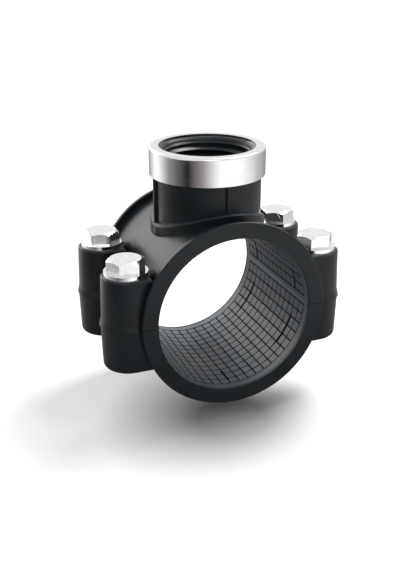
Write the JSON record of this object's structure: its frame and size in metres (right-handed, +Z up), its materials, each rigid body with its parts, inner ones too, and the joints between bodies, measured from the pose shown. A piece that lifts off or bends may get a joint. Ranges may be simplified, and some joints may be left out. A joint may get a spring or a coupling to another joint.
{
  "type": "tapping saddle",
  "caption": "Two-part plastic clamp saddle for a 63 mm pipe, with a steel-ringed threaded branch, gridded rubber gaskets and hexagon bolts.",
  "frame": {"origin": "on the pipe axis, at the middle of the saddle's length", "axes": "+Y along the pipe, +Z up the branch, +X across the clamp towards the right-hand bolts"},
  "size_m": [0.1012, 0.062, 0.0982],
  "materials": {
    "body_plastic": "injection-moulded black polypropylene, satin",
    "gasket_rubber": "moulded grey-black rubber, matt",
    "ring_steel": "pressed stainless steel, polished",
    "fastener_steel": "bright zinc-plated steel"
  },
  "bodies": {
    "upper_half": {"upper_body": "body_plastic", "reinforcing_ring": "ring_steel", "upper_gasket": "gasket_rubber", "washer_front_left": "fastener_steel", "washer_front_right": "fastener_steel", "washer_rear_left": "fastener_steel", "washer_rear_right": "fastener_steel"},
    "lower_half": {"lower_body": "body_plastic", "lower_gasket": "gasket_rubber", "nut_front_left": "fastener_steel", "nut_front_right": "fastener_steel", "nut_rear_left": "fastener_steel", "nut_rear_right": "fastener_steel"},
    "front_left_bolt": {"bolt_front_left": "fastener_steel"},
    "front_right_bolt": {"bolt_front_right": "fastener_steel"},
    "rear_left_bolt": {"bolt_rear_left": "fastener_steel"},
    "rear_right_bolt": {"bolt_rear_right": "fastener_steel"}
  },
  "joints": [
    {"name": "clamp_opening", "type": "slide", "parent": "upper_half", "child": "lower_half", "axis": [0, 0, -1], "range_m": [0, 0.006]},
    {"name": "front_left_bolt_turn", "type": "hinge", "parent": "upper_half", "child": "front_left_bolt", "pos_m": [-0.0397, -0.0177, 0], "axis": [0, 0, 1], "range_deg": [0, 1728.5]},
    {"name": "front_right_bolt_turn", "type": "hinge", "parent": "upper_half", "child": "front_right_bolt", "pos_m": [0.0397, -0.0177, 0], "axis": [0, 0, 1], "range_deg": [0, 1728.5]},
    {"name": "rear_left_bolt_turn", "type": "hinge", "parent": "upper_half", "child": "rear_left_bolt", "pos_m": [-0.0397, 0.0177, 0], "axis": [0, 0, 1], "range_deg": [0, 1728.5]},
    {"name": "rear_right_bolt_turn", "type": "hinge", "parent": "upper_half", "child": "rear_right_bolt", "pos_m": [0.0397, 0.0177, 0], "axis": [0, 0, 1], "range_deg": [0, 1728.5]}
  ],
  "couplings": [
    {"joint": "front_left_bolt_turn", "follows": "clamp_opening", "rad_per_m": 5026.5},
    {"joint": "front_right_bolt_turn", "follows": "clamp_opening", "rad_per_m": 5026.5},
    {"joint": "rear_left_bolt_turn", "follows": "clamp_opening", "rad_per_m": 5026.5},
    {"joint": "rear_right_bolt_turn", "follows": "clamp_opening", "rad_per_m": 5026.5}
  ]
}
